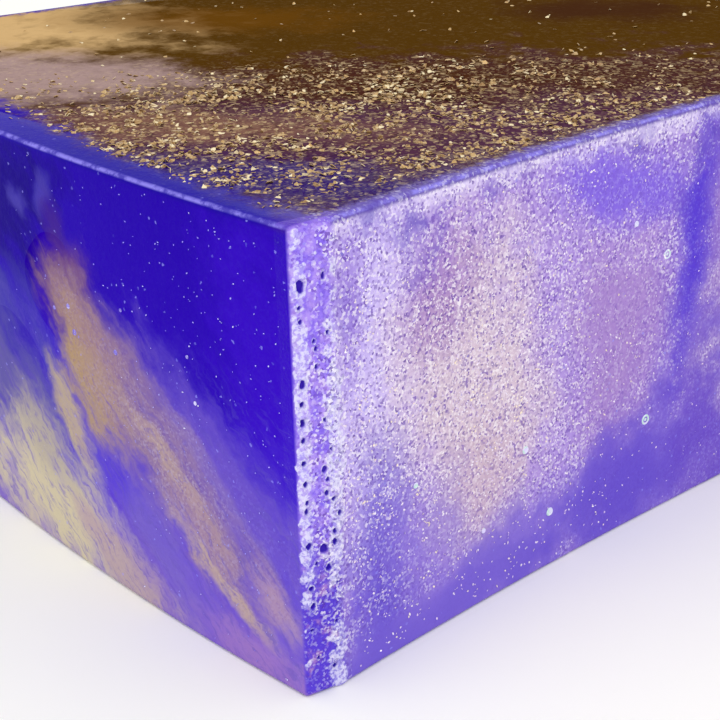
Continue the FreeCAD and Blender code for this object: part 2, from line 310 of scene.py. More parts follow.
def skin_piece(name, quads, points, normals, inner, masks):
    """A closed shell: a patch of the skin, its inner side, and a rim between them."""
    used, compact = np.unique(quads, return_inverse=True)
    outer = compact.reshape(-1, 4)
    count = len(used)
    edges = np.concatenate([outer[:, [side, (side + 1) % 4]] for side in range(4)])
    key = edges.min(axis=1) * count + edges.max(axis=1)
    _, first, times = np.unique(key, return_index=True, return_counts=True)
    border = edges[first[times == 1]]
    rim = np.stack([border[:, 1], border[:, 0], border[:, 0] + count, border[:, 1] + count], axis=1)
    back = outer[:, ::-1] + count
    ends = np.concatenate([points[used], inner[used]])
    across = np.cross(ends[rim[:, 2]] - ends[rim[:, 0]], ends[rim[:, 3]] - ends[rim[:, 1]])
    across /= np.maximum(np.linalg.norm(across, axis=1, keepdims=True), 1e-12)
    outwards = normals[used]
    corner_normals = np.concatenate([outwards[outer].reshape(-1, 3), -outwards[outer[:, ::-1]].reshape(-1, 3),
                                     np.repeat(across, 4, axis=0)])
    both = {mask: np.concatenate([values[used], values[used]]) for mask, values in masks.items()}
    return make_piece(name, ends, [outer, back, rim], corner_normals, both)


def cad_lookup():
    """A search tree over every CAD node's faces, and the node that each face belongs to."""
    corners, faces, owner = [], [], []
    for name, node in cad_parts.items():
        start = len(corners)
        corners += [tuple(vertex.co) for vertex in node.data.vertices]
        for polygon in node.data.polygons:
            faces.append([start + vertex for vertex in polygon.vertices])
            owner.append(name)
    return BVHTree.FromPolygons(corners, faces), owner


def even_borders(flat, quads, owner, rounds=8):
    """Slides the points where two pieces meet along the skin, so the border is a smooth line."""
    edges = np.concatenate([quads[:, [side, (side + 1) % 4]] for side in range(4)])
    owners = np.tile(owner, 4)
    key = edges.min(axis=1) * len(flat) + edges.max(axis=1)
    order = np.argsort(key, kind="stable")
    same = key[order][1:] == key[order][:-1]
    differ = owners[order][1:] != owners[order][:-1]
    seam = edges[order[1:][same & differ]]
    low, high = flat.min(axis=0), flat.max(axis=0)
    on_sides = ((flat <= low + 0.5) | (flat >= high - 0.5)).sum(axis=1)
    links = np.bincount(seam.ravel(), minlength=len(flat))
    free = (links == 2) & (on_sides == 1)
    moved = flat.copy()
    for _ in range(rounds):
        total = np.zeros_like(moved)
        for axis in range(3):
            total[:, axis] = (np.bincount(seam[:, 0], moved[seam[:, 1], axis], len(flat))
                              + np.bincount(seam[:, 1], moved[seam[:, 0], axis], len(flat)))
        moved[free] = 0.4 * moved[free] + 0.3 * total[free]
    return moved


BEAD_X = HALF_X - BEAD_IN                   # where the corner beads begin
BEAD_Y = HEEL_Y - BEAD_PAST_HEEL
ROUND_STEPS = np.array([0.0, 0.04, 0.09, 0.15, 0.21, EDGE_ROUND])


def edge_steps(start, end, coarse):
    """Places from start to a rounded edge at end."""
    inside = end - ROUND_STEPS[-1]
    plain = np.linspace(start, inside, max(2, round((inside - start) / coarse) + 1))
    return np.concatenate([plain[:-1], end - ROUND_STEPS[::-1]])


def level_steps(middle):
    """Heights from the underside to the top, close together where the edges are rounded."""
    return np.concatenate([ROUND_STEPS[:-1], middle, (TALL - ROUND_STEPS[:-1])[::-1]])


def build_skin():
    """Every skin piece but the corner beads: {CAD node: piece}."""
    corner_x = edge_steps(BEAD_X, HALF_X, 0.16)
    past_heel = np.linspace(BEAD_Y, HEEL_Y, 5)[:-1]
    corner_y = np.concatenate([past_heel, edge_steps(HEEL_Y, NOSE_Y, 0.16)])
    xs = np.concatenate([-corner_x[::-1], spread(-BEAD_X, BEAD_X, 0.3, 0.5, 0.12)[1:-1], corner_x])
    ys = np.concatenate([-corner_y[::-1], spread(-BEAD_Y, BEAD_Y, 0.12, 0.5, 0.3)[1:-1], corner_y])
    zs = level_steps(spread(EDGE_ROUND, TALL - EDGE_ROUND, 0.2, 0.4, 0.14))
    sides = [(axis, end) for axis in range(3) for end in (-1, 1)]
    flat, quads = lattice(xs, ys, zs, sides)
    centre = flat[quads].mean(axis=1)
    kept = (np.abs(centre[:, 0]) < BEAD_X) | (np.abs(centre[:, 1]) < BEAD_Y)
    quads, centre = quads[kept], centre[kept]
    tree, face_owner = cad_lookup()
    names = sorted(set(face_owner))
    owner = np.empty(len(quads), dtype=int)
    for index, place in enumerate(bowed(rounded(centre)) * MM):
        owner[index] = names.index(face_owner[tree.find_nearest(Vector(place))[2]])
    upper = names.index("violet_upper_pour")
    for index, name in enumerate(names):
        if name.startswith(("corner_bead", "mica_flakes")):
            owner[owner == index] = names.index("gold_skin_top") if "flakes" in name else upper
    flat = even_borders(flat, quads, owner)
    points, normals, inner, masks = shaped(flat, quads)
    pieces = {}
    for index, name in enumerate(names):
        if (owner == index).any():
            pieces[name] = skin_piece(name + "_skin", quads[owner == index], points, normals, inner, masks)
    return pieces


def build_bead(name, right, back, cut):
    """One corner bead, as a closed shell of its own with faces about `cut` millimetres wide."""
    xs = edge_steps(BEAD_X, HALF_X, cut)
    past_heel = np.linspace(BEAD_Y, HEEL_Y, round(BEAD_PAST_HEEL / cut) + 1)[:-1]
    ys = np.concatenate([past_heel, edge_steps(HEEL_Y, NOSE_Y, cut)])
    zs = level_steps(np.linspace(EDGE_ROUND, TALL - EDGE_ROUND, round(TALL / cut)))
    xs = xs if right > 0 else -xs[::-1]
    ys = ys if back > 0 else -ys[::-1]
    flat, quads = lattice(xs, ys, zs, [(0, right), (1, back), (2, -1), (2, 1)])
    points, normals, inner, masks = shaped(flat, quads)
    return skin_piece(name + "_skin", quads, points, normals, inner, masks)


# ---- materials ------------------------------------------------------------------------------------

class Graph:
    """Short ways to write node trees. A value may be a socket, a number, a colour or a vector."""

    def __init__(self, tree):
        self.tree = tree

    def node(self, kind, inputs=None, **settings):
        made = self.tree.nodes.new(kind)
        for setting, value in settings.items():
            setattr(made, setting, value)
        for key, value in (inputs or {}).items():
            socket = made.inputs[key]
            if isinstance(value, bpy.types.NodeSocket):
                self.tree.links.new(value, socket)
            else:
                socket.default_value = value
        return made

    def math(self, operation, *values, clamp=False):
        made = self.node("ShaderNodeMath", dict(enumerate(values)), operation=operation, use_clamp=clamp)
        return made.outputs[0]

    def times(self, first, second):
        return self.math("MULTIPLY", first, second)

    def vector(self, operation, *values):
        made = self.node("ShaderNodeVectorMath", dict(enumerate(values)), operation=operation)
        return made.outputs["Value" if operation in ("LENGTH", "DOT_PRODUCT") else 0]

    def scaled(self, vector, factor):
        return self.node("ShaderNodeVectorMath", {0: vector, 3: factor}, operation="SCALE").outputs[0]

    def ramp(self, value, low, high, to_low=0.0, to_high=1.0):
        inputs = {0: value, 1: low, 2: high, 3: to_low, 4: to_high}
        return self.node("ShaderNodeMapRange", inputs, interpolation_type="SMOOTHSTEP").outputs[0]

    def mix(self, factor, first, second, blend="MIX"):
        inputs = {0: factor, 6: first, 7: second}
        return self.node("ShaderNodeMix", inputs, data_type="RGBA", blend_type=blend).outputs[2]

    def noise(self, vector, scale, detail, rough=0.5, colour=False):
        inputs = {"Vector": vector, "Scale": scale, "Detail": detail, "Roughness": rough}
        made = self.node("ShaderNodeTexNoise", inputs)
        return made.outputs["Color" if colour else 0]

    def cells(self, vector, scale):
        """Random flecks: the random colour of the cell at each place."""
        return self.node("ShaderNodeTexVoronoi", {"Vector": vector, "Scale": scale}).outputs["Color"]

    def split(self, vector):
        return self.node("ShaderNodeSeparateXYZ", {0: vector}).outputs

    def place(self):
        """The place on the bar, in millimetres."""
        return self.scaled(self.node("ShaderNodeTexCoord").outputs["Object"], 1 / MM)

    def attribute(self, name):
        return self.node("ShaderNodeAttribute", attribute_name=name).outputs["Fac"]

    def bump(self, strength, distance, height, normal=None):
        inputs = {"Strength": strength, "Distance": distance, "Height": height}
        if normal is not None:
            inputs["Normal"] = normal
        return self.node("ShaderNodeBump", inputs).outputs[0]

    def surface(self, paint, roughness, shine, normal=None, metallic=0.0):
        """Ends the material's tree in an opaque surface of this colour."""
        inputs = {"Base Color": paint, "Roughness": roughness, "Specular IOR Level": shine,
                  "Metallic": metallic}
        if normal is not None:
            inputs["Normal"] = normal
        shader = self.node("ShaderNodeBsdfPrincipled", inputs)
        out = self.node("ShaderNodeOutputMaterial")
        self.tree.links.new(shader.outputs[0], out.inputs["Surface"])


def colour(code):
    """A colour as it looks on a screen, such as "2b02b6", as linear light."""
    parts = [int(code[start:start + 2], 16) / 255 for start in (0, 2, 4)]
    linear = [part / 12.92 if part <= 0.04045 else ((part + 0.055) / 1.055) ** 2.4 for part in parts]
    return (*linear, 1.0)


# Swirls in the soap. A row of a table holds the middle on that face, the two half sizes, the turn in
# degrees, softness of the edge, colour, how much of it covers, and how much mica sparkles in it.
FRONT, RIGHT, TOP = -39.5, 26.5, 25.0       # y, x and z of the three faces in view


def on_front(x, z, wide, tall, turn, soft, code, cover, mica):
    return ("y", (x, FRONT, z), (wide, 6.0, tall), turn, soft, code, cover, mica)


def on_right(y, z, wide, tall, turn, soft, code, cover, mica):
    return ("x", (RIGHT, y, z), (5.0, wide, tall), turn, soft, code, cover, mica)


def on_top(x, y, wide, tall, turn, soft, code, cover, mica):
    return ("z", (x, y, TOP), (wide, tall, 1.2), turn, soft, code, cover, mica)


FRONT_SWIRLS = [
    (1.0, 22.5, 7.0, 5.5, 0, 0.8, "1a0380", 0.9, 0.0),
    (25.5, 18.0, 3.5, 8.0, 0, 1.0, "3a0cc8", 0.7, 0.06),
    (-2.0, 12.6, 8.0, 4.6, -12, 1.0, "463eaa", 0.95, 0.0),
    (1.0, 8.8, 7.5, 3.8, -14, 1.0, "6a62a8", 0.85, 0.05),
    (9.4, 17.4, 2.6, 2.8, -50, 1.0, "6e4478", 0.85, 0.15),
    (22.5, 9.8, 8.0, 2.6, -40, 1.2, "755cc6", 0.75, 0.3),
    (13.4, 13.2, 6.0, 2.9, -42, 1.1, "8f7298", 0.9, 0.3),
    (11.8, 13.8, 4.6, 1.9, -46, 1.0, "a88a80", 0.9, 0.3),
    (10.4, 12.0, 3.4, 1.7, -60, 1.0, "b4986c", 0.9, 0.3),
    (13.8, 11.6, 3.4, 1.2, -44, 0.9, "b49a7c", 0.8, 0.3),
    (8.2, 9.6, 2.6, 1.0, -60, 1.0, "c4b088", 0.8, 0.2),
    (18.4, 8.8, 7.4, 2.4, -40, 1.1, "947aa8", 0.85, 0.4),
    (17.6, 9.6, 4.2, 0.6, -40, 0.9, "c0a894", 0.6, 0.4),
    (21.6, 9.8, 4.8, 0.5, -40, 1.0, "8c74bc", 0.5, 0.35),
    (20.4, 6.2, 3.0, 1.4, -38, 1.1, "a88ca0", 0.8, 0.35),
    (21.6, 4.2, 4.4, 0.6, -34, 0.9, "c4ac98", 0.75, 0.3),
    (25.2, 4.6, 2.2, 1.0, -40, 1.2, "b698b0", 0.7, 0.3),
    (5.2, 2.6, 7.2, 4.0, -14, 1.0, "cfc4a8", 1.0, 0.05),
    (4.8, 7.2, 3.4, 1.8, -42, 1.1, "b8ae9e", 0.85, 0.1),
    (12.6, 1.7, 4.6, 1.7, -16, 0.9, "b8a2aa", 0.9, 0.15),
    (15.8, 4.8, 3.4, 1.6, -42, 1.2, "7a66c6", 0.7, 0.15),
    (24.2, 0.8, 3.8, 1.3, -10, 1.0, "a07ac4", 0.8, 0.15),
    (4.6, 21.4, 1.0, 0.7, -30, 1.1, "564cb8", 0.6, 0.0),
    (7.4, 22.5, 0.7, 1.2, -20, 1.1, "5c52c0", 0.5, 0.0),
    (8.4, 20.6, 1.0, 1.8, 20, 1.1, "44248c", 0.8, 0.0),
]
RIGHT_SWIRLS = [
    (-19.0, 12.0, 26.0, 17.0, 0, 0.5, "b094e0", 1.0, 0.9),
    (-33.6, 16.0, 3.4, 10.0, 0, 1.2, "d2c2fa", 0.85, 1.0),
    (-26.2, 13.6, 5.6, 7.4, 8, 1.1, "dac6d4", 0.9, 1.0),
    (-25.6, 7.4, 3.0, 3.0, 0, 1.2, "cab0c2", 0.7, 0.7),
    (-28.8, 19.4, 2.4, 2.8, 0, 1.3, "9c70bc", 0.65, 1.0),
    (-14.0, 12.0, 3.8, 6.5, 0, 1.1, "a482c8", 0.85, 0.45),
    (-14.5, 21.6, 5.6, 2.2, -12, 1.1, "7a5ce0", 0.85, 0.4),
    (-33.2, 4.0, 2.4, 6.5, 0, 1.3, "5c48cc", 0.85, 0.6),
    (-35.0, 20.0, 0.8, 4.0, 0, 1.1, "9270d8", 0.6, 0.9),
    (-26.0, 1.6, 14.0, 2.8, 12, 1.1, "7660d0", 0.95, 0.1),
    (-30.0, 6.0, 3.0, 3.4, 0, 1.2, "8a72d4", 0.7, 0.35),
    (-11.0, 3.0, 7.5, 4.0, 14, 1.5, "6a52cc", 1.0, 0.2),
    (-10.0, 8.0, 1.6, 4.0, 0, 1.3, "7a62d0", 0.6, 0.2),
    (-4.4, 12.0, 4.2, 15.0, 0, 1.2, "6c4ec6", 0.95, 0.3),
    (-5.4, 17.0, 1.4, 4.0, 0, 1.2, "a080cc", 0.7, 0.5),
    (-8.0, 16.5, 1.2, 6.5, -6, 1.3, "4a2cd0", 0.85, 0.3),
    (-21.0, 25.3, 18.0, 1.1, 0, 1.1, "e8dcfc", 0.85, 0.9),
    (6.5, 13.0, 10.5, 8.5, 0, 0.9, "c4acd8", 0.9, 0.9),
]
HIDDEN_WALL_SWIRLS = [                      # on the walls away from the near corner
    ("x", (-26.5, -8.0, 12.5), (5.0, 17.0, 7.5), 12, 0.9, "c2a8e0", 0.9, 0.9),
    ("y", (-3.0, 39.5, 9.5), (16.0, 6.0, 5.0), 18, 0.9, "b09a88", 0.9, 0.3),
]
TOP_SWIRLS = [on_top(*swirl) for swirl in (
    (17.5, -24.0, 31.0, 15.0, 63, 0.6, "502e46", 1.0, 0.85),
    (9.0, -17.0, 24.0, 6.0, 51, 1.0, "46240c", 0.85, 0.7),
    (-24.0, -28.0, 13.0, 9.0, 30, 1.0, "cca976", 1.0, 0.05),
    (-7.5, -32.5, 11.0, 5.6, 30, 1.0, "a68c8a", 0.95, 0.25),
    (-14.0, -14.0, 9.0, 4.0, 44, 1.1, "68420e", 0.7, 0.0),
    (3.0, 8.0, 6.0, 4.0, 44, 1.1, "3e2018", 0.7, 0.0),
    (10.0, -31.0, 9.0, 2.8, 40, 1.2, "8a6450", 0.7, 1.0),
    (20.5, -34.4, 9.5, 3.6, 32, 1.1, "2c0e68", 0.95, 0.6),
    (-16.0, 22.0, 12.0, 6.0, 35, 0.9, "8a6640", 0.7, 0.5),
    (10.0, 26.0, 14.0, 5.0, 20, 0.9, "5c3a3a", 0.8, 0.8),
)]
WALL_SWIRLS = [on_front(*swirl) for swirl in FRONT_SWIRLS] + [on_right(*swirl) for swirl in RIGHT_SWIRLS]
WALL_SWIRLS += HIDDEN_WALL_SWIRLS


def add_swirls(g, place, wobbles, masks, swirls, paint, mica):
    """Lays each swirl over the colour and the mica so far, softly and with a ragged edge."""
    for wall, middle, size, turn, soft, code, cover, sparkle in swirls:
        axis, sign = {"x": (0, 1), "y": (1, -1), "z": (2, 1)}[wall]
        rotation = [0.0, 0.0, 0.0]
        rotation[axis] = sign * math.radians(turn)
        inputs = {0: place, 1: middle, 2: rotation, 3: size}
        local = g.node("ShaderNodeMapping", inputs, vector_type="TEXTURE")
        reach = g.math("ADD", g.vector("LENGTH", local.outputs[0]), wobbles[wall])
        factor = g.ramp(reach, 1.0 + 0.6 * soft, 1.0 - 0.6 * soft, 0.0, cover)
        if wall in masks:
            factor = g.times(factor, masks[wall])
        paint = g.mix(factor, paint, colour(code))
        mica = g.ramp(factor, 0.0, 1.0, mica, sparkle)
    return paint, mica


# The colour of the plain soap by height, lighter towards the bottom: partly the milkier lower pour and partly
# painted light, the glow of light passing through the soap and the white floor's reflection near the bottom.
# Share of the bar's height, colour.
POUR_AND_PAINTED_GLOW_COLOURS = [
    (0.0, "8062cc"), (0.14, "7458d0"), (0.3, "5a40d4"), (0.46, "4325c8"), (0.64, "2c04b4"), (1.0, "2602a8"),
]
FLOW_SLOPE = math.radians(-42)              # filaments on the front run down to the right, as poured


def colour_by_height(g, share):
    levels = g.node("ShaderNodeValToRGB", {0: share})
    ramp = levels.color_ramp
    for element, (at, code) in zip(ramp.elements, (POUR_AND_PAINTED_GLOW_COLOURS[0], POUR_AND_PAINTED_GLOW_COLOURS[-1])):
        element.position = at
        element.color = colour(code)
    for at, code in POUR_AND_PAINTED_GLOW_COLOURS[1:-1]:
        ramp.elements.new(at).color = colour(code)
    return levels.outputs[0]


def along_flow(g, warped):
    """A space stretched along the flow, so that noise in it makes filaments."""
    along = g.vector("DOT_PRODUCT", warped, (math.cos(FLOW_SLOPE), 0.0, math.sin(FLOW_SLOPE)))
    across = g.vector("DOT_PRODUCT", warped, (-math.sin(FLOW_SLOPE), 0.0, math.cos(FLOW_SLOPE)))
    depth = g.split(warped)[1]
    inputs = {0: g.times(along, 0.22), 1: g.times(depth, 0.3),
              2: g.times(across, 1.1)}
    return g.node("ShaderNodeCombineXYZ", inputs).outputs[0]


def insets(g, x, y):
    """How far in from the end walls, and from the side walls, a place on the top is."""
    end_share = g.math("POWER", g.math("DIVIDE", x, HALF_X - STRIP_SET_IN), 2.0)
    end_edge = g.math("SUBTRACT", HALF_Y, g.times(end_share, END_BULGE))
    side_share = g.math("POWER", g.math("DIVIDE", y, HEEL_Y), 2.0)
    side_edge = g.math("ADD", HALF_X - SIDE_HOLLOW, g.times(side_share, SIDE_HOLLOW))
    from_end = g.math("SUBTRACT", end_edge, g.math("ABSOLUTE", y))
    return from_end, g.math("SUBTRACT", side_edge, g.math("ABSOLUTE", x))


def marbling():
    """The soap's colour and its share of mica and gold at every place in the bar, as one node group, so
    that the pattern runs on from piece to piece."""
    tree = bpy.data.node_groups.new("marbling", "ShaderNodeTree")
    for socket_name, kind in (("Colour", "NodeSocketColor"), ("Mica", "NodeSocketFloat"),
                              ("Gold", "NodeSocketFloat")):
        tree.interface.new_socket(socket_name, in_out="OUTPUT", socket_type=kind)
    g = Graph(tree)
    place = g.place()
    drift = g.vector("SUBTRACT", g.noise(place, 0.13, 2.0, colour=True), (0.5, 0.5, 0.5))
    curl = g.vector("SUBTRACT", g.noise(place, 0.7, 3.0, 0.6, colour=True), (0.5, 0.5, 0.5))
    warped = g.vector("ADD", g.vector("ADD", place, g.scaled(drift, 2.4)), g.scaled(curl, 1.3))

    stretched = along_flow(g, warped)
    filament = g.noise(stretched, 0.8, 4.0, 0.6)
    cloud = g.noise(warped, 0.28, 5.0, 0.62)
    blend = g.math("ADD", g.times(filament, 0.5), g.times(cloud, 0.5))
    wobbles = {"y": g.ramp(blend, 0.3, 0.7, -0.42, 0.42), "x": g.ramp(cloud, 0.25, 0.75, -0.35, 0.35),
               "z": g.ramp(cloud, 0.25, 0.75, -0.4, 0.4)}

    x, y, z = g.split(place)[:3]
    wavy_z = g.math("ADD", g.split(warped)[2], g.times(g.math("SUBTRACT", cloud, 0.5), 8.0))
    # The plain soap by height; its lighter lower part is partly painted glow and painted floor reflection.
    plain = colour_by_height(g, g.math("DIVIDE", wavy_z, TALL, clamp=True))
    faint = g.ramp(g.noise(stretched, 1.7, 4.0, 0.6), 0.5, 0.72, 0.0, 0.25)
    low_down = g.ramp(z, 19.0, 8.0)
    wall = g.mix(g.times(faint, low_down), plain, colour("a88fc8"))
    mica = g.ramp(z, 20.0, 0.0, 0.03, 0.12)
    from_nose = g.math("SUBTRACT", NOSE_Y, g.math("ABSOLUTE", y))
    masks = {"x": g.ramp(from_nose, 0.0, 1.2)}
    wall, mica = add_swirls(g, warped, wobbles, masks, WALL_SWIRLS, wall, mica)

    # Thin violet threads cut through the gold on the end walls.
    threads = g.ramp(g.noise(stretched, 3.2, 4.0, 0.6), 0.5, 0.68, 0.0, 0.5)
    at_end = g.ramp(from_nose, 0.5, 0.0)
    wall = g.mix(g.times(g.times(threads, at_end), low_down), wall, colour("6a58ba"))

    # The gold skin on the poured top, set back from the edges behind a violet rim.
    from_end, from_side = insets(g, x, y)
    fray = g.ramp(g.noise(place, 0.8, 5.0, 0.7), 0.25, 0.75, -0.9, 0.9)
    wider = g.ramp(x, 16.0, -2.0, 0.0, 1.3)
    end_in = g.ramp(g.math("SUBTRACT", g.math("ADD", from_end, fray), wider), 0.6, 3.2)
    side_in = g.ramp(g.math("ADD", from_side, g.times(fray, 0.5)), 0.25, 1.2)
    on_top = g.ramp(z, TALL - 0.45, TALL - 0.15)
    gold = g.times(g.times(end_in, side_in), on_top)
    top, top_mica = add_swirls(g, warped, wobbles, {}, TOP_SWIRLS, colour("4f340c"), 0.06)
    end_rim = g.mix(g.ramp(x, 12.0, -4.0), colour("1c0a98"), colour("301cae"))
    rim = g.mix(g.ramp(from_side, 3.0, 0.5), end_rim, colour("3a1698"))
    wall = g.mix(g.times(on_top, 0.85), wall, rim)
    mica = g.times(mica, g.math("SUBTRACT", 1.0, g.times(on_top, 0.4)))

    # A pale, ragged line along the very edge of the top: a painted highlight where light catches the edge.
    from_edge = g.math("MINIMUM", from_end, from_side)
    painted_arris_highlight = g.times(g.ramp(z, TALL - 0.22, TALL - 0.1), g.ramp(from_edge, 0.32, 0.08))
    painted_arris_highlight = g.times(painted_arris_highlight, g.ramp(fray, -0.5, 0.4, 0.2, 0.8))
    wall = g.mix(painted_arris_highlight, wall, colour("9a90f4"))

    all_mica = g.node("ShaderNodeMix", {0: gold, 2: mica, 3: top_mica}, data_type="FLOAT").outputs[0]
    out = g.node("NodeGroupOutput")
    tree.links.new(g.mix(gold, wall, top), out.inputs["Colour"])
    tree.links.new(all_mica, out.inputs["Mica"])
    tree.links.new(gold, out.inputs["Gold"])
    return tree


MARBLING = marbling()


def new_material(name):
    material = bpy.data.materials.new(name)
    material.use_nodes = True
    material.node_tree.nodes.clear()
    return material, Graph(material.node_tree)


def grainy(g, base, mica, gold):
    """Adds flecks of mica, pale and dark on the walls and gold on top: (colour, normal, metal). The pale
    flecks and rare specks on the walls are partly painted glints, near-white colour in place of light off the
    mica.
    """
    place = g.place()
    grain = g.cells(place, 7.5)
    coarse = g.cells(place, 3.4)
    grains, flakes = g.split(grain), g.split(coarse)
    clumps = g.noise(place, 1.4, 4.0, 0.7)

    # Walls: fine grain, with some clumps denser than others. The pale flecks and the rare specks are mica
    # grains with their glints painted in as near-white colour.
    density = g.times(mica, g.ramp(clumps, 0.32, 0.62, 0.3, 1.0))
    pale = g.times(g.ramp(grains[0], 0.6, 0.95), density)
    dark = g.times(g.ramp(grains[0], 0.36, 0.04), density)
    fleck_painted_glint = g.mix(g.ramp(mica, 0.15, 0.7), g.mix(0.5, base, colour("8c7cf4")), colour("fffaff"))
    wall = g.mix(g.times(pale, 0.74), base, fleck_painted_glint)
    wall = g.mix(g.times(dark, 0.75), wall, colour("6238b0"))
    speck_painted_glint = g.ramp(grains[1], 0.995, 0.999)
    wall = g.mix(g.times(speck_painted_glint, 0.5), wall, colour("9a98f8"))

    # Top: gold flakes over dark gaps.
    gold_density = g.times(mica, g.ramp(clumps, 0.36, 0.62, 0.1, 1.0))
    bright = g.times(g.ramp(flakes[0], 0.72, 0.96), gold_density)
    fine_bright = g.times(g.ramp(grains[2], 0.74, 0.97), gold_density)
    gaps = g.times(g.ramp(flakes[1], 0.45, 0.1), gold_density)
    top = g.mix(g.times(gaps, 0.6), base, colour("2e1220"))
    top = g.mix(g.times(fine_bright, 0.55), top, colour("d8bc8c"))
    top = g.mix(g.times(bright, 0.6), top, colour("e2c690"))
    paint = g.mix(gold, wall, top)

    # Each grain is a tiny plate that lies at its own angle.
    tilt = g.vector("SUBTRACT", grain, (0.5, 0.5, 0.5))
    tilt = g.scaled(tilt, g.times(g.math("ADD", mica, 0.04), 0.8))
    facing = g.node("ShaderNodeNewGeometry").outputs["Normal"]
    facing = g.vector("NORMALIZE", g.vector("ADD", facing, tilt))
    bump = g.bump(0.35, 0.1 * MM, clumps, facing)
    metal = g.times(g.math("MAXIMUM", pale, g.times(bright, gold)), 0.45)
    return paint, bump, metal


def soap_material(name, tint, roughness, shine):
    """Marbled soap, with flecks of mica in it."""
    material, g = new_material(name)
    mixed = g.node("ShaderNodeGroup", node_tree=MARBLING)
    base, mica, gold = mixed.outputs[:3]
    paint, facing, metal = grainy(g, base, mica, gold)
    paint = g.mix(0.06, paint, g.mix(1.0, paint, colour(tint), "MULTIPLY"))
    rough = g.node("ShaderNodeMapRange", {0: mica, 3: roughness, 4: roughness + 0.12}).outputs[0]
    g.surface(paint, rough, shine, facing, metal)
    return material


def bead_material(name):
    """A corner bead: blue-lilac soap with a frosty crust and dark burst bubbles."""
    material, g = new_material(name)
    mixed = g.node("ShaderNodeGroup", node_tree=MARBLING)
    place = g.place()
    x, y, z = g.split(place)[:3]
    crust = g.attribute("crust")
    pit = g.attribute("pit")
    clumps = g.noise(place, 1.1, 4.0, 0.65)
    fine = g.noise(place, 5.0, 3.0, 0.6)
    band = g.mix(g.ramp(clumps, 0.35, 0.65), colour("8a6cf0"), colour("b496f4"))
    low = g.mix(g.ramp(clumps, 0.52, 0.7), colour("5a40d4"), colour("a87cc8"))
    wavering = g.math("ADD", z, g.times(clumps, 4.0))
    band = g.mix(g.ramp(wavering, 14.0, 6.5), band, low)
    past_heel = g.ramp(g.math("ABSOLUTE", y), HEEL_Y - 0.35, HEEL_Y + 0.3)
    past_nose = g.ramp(g.math("ABSOLUTE", x), HALF_X - STRIP_SET_IN - 0.2, HALF_X - STRIP_SET_IN)
    base = g.mix(g.times(past_heel, past_nose), mixed.outputs[0], band)
    on_top = g.ramp(z, TALL - 0.2, TALL - 0.02)
    base = g.mix(g.times(on_top, 0.5), base, colour("6a48cc"))
    frost = g.times(g.ramp(crust, 0.1, 0.65), g.ramp(fine, 0.4, 0.58, 0.3, 1.0))
    base = g.mix(g.times(frost, 0.85), base, colour("e6e4fe"))
    strewn = g.times(g.math("SUBTRACT", 1.0, frost), 0.5)
    mica = g.math("MAXIMUM", mixed.outputs[1], g.times(strewn, past_nose))
    paint, facing, metal = grainy(g, base, g.times(mica, g.ramp(pit, 0.5, 0.0)), mixed.outputs[2])
    paint = g.mix(g.times(g.ramp(pit, 0.2, 0.8), 0.93), paint, colour("3212ae"))
    rough = g.ramp(frost, 0.0, 1.0, 0.28, 0.6)
    g.surface(paint, rough, 0.03, g.bump(0.5, 0.1 * MM, fine, facing), metal)
    return material


def flake_material(name, first, second, pale_glint_shade, roughness, metallic):
    """Loose mica plates: each one picks its own shade from where it lies. The palest shade, also laid on in
    streaks, is partly painted glint, so that the plates shine whatever the light.
    """
    material, g = new_material(name)
    place = g.place()
    pick = g.cells(place, 2.4)
    shade = g.mix(g.ramp(g.split(pick)[0], 0.2, 0.8), colour(first), colour(second))
    shade = g.mix(g.ramp(g.split(pick)[1], 0.75, 0.95), shade, colour(pale_glint_shade))
    streaks = g.noise(place, 9.0, 2.0, 0.5)
    shade = g.mix(g.ramp(streaks, 0.4, 0.7, 0.0, 0.3), shade, colour(pale_glint_shade))
    rough = g.ramp(streaks, 0.3, 0.7, roughness, roughness + 0.15)
    g.surface(shade, rough, 0.3, g.bump(0.2, 0.03 * MM, streaks), metallic)
    return material


# ---- the pieces -----------------------------------------------------------------------------------

SLOT_OF = {
    "violet_lower_pour": "violet_milky_soap",
    "violet_upper_pour": "violet_deep_soap",
    "gold_skin_top": "gold_mica_soap",
    "gold_streak_front": "gold_mica_soap",
    "gold_wisp_front": "gold_mica_soap",
    "gold_cloud_back": "gold_mica_soap",
    "bronze_pool_top": "bronze_mica_soap",
    "cream_swirl_top": "cream_mica_soap",
    "gold_cloud_front": "cream_mica_soap",
    "rose_pool_front": "rose_soap",
    "pearl_cloud_right": "pearl_mica_soap",
    "pearl_cloud_far_right": "pearl_mica_soap",
    "pearl_cloud_left": "pearl_mica_soap",
}
SOAPS = {   # slot: (tint, roughness, shine)
    "violet_milky_soap": ("d8d0ff", 0.34, 0.02),
    "violet_deep_soap": ("c8c0ff", 0.30, 0.01),
    "gold_mica_soap": ("ffe8b8", 0.40, 0.0),
    "bronze_mica_soap": ("f0d0a0", 0.42, 0.0),
    "cream_mica_soap": ("fff0d0", 0.36, 0.0),
    "rose_soap": ("ffe0e8", 0.36, 0.02),
    "pearl_mica_soap": ("fff4fa", 0.44, 0.06),
}


def dress(piece, material, slot, *nodes):
    piece.data.materials.append(material)
    if nodes:
        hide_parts(*nodes)


SOAP_MATERIALS = {slot: soap_material(slot, *look) for slot, look in SOAPS.items()}
for node_name, piece in build_skin().items():
    slot = SLOT_OF[node_name]
    dress(piece, SOAP_MATERIALS[slot], slot, node_name)

FROSTED = bead_material("frosted_soap")
for end_name, back in (("front", -1), ("back", 1)):
    for side_name, right in (("right", 1), ("left", -1)):
        node_name = f"corner_bead_{end_name}_{side_name}"
        cut = NEAR_BEAD_CUT if (end_name, side_name) == ("front", "right") else FAR_BEAD_CUT
        dress(build_bead(node_name, right, back, cut), FROSTED, "frosted_soap", node_name)


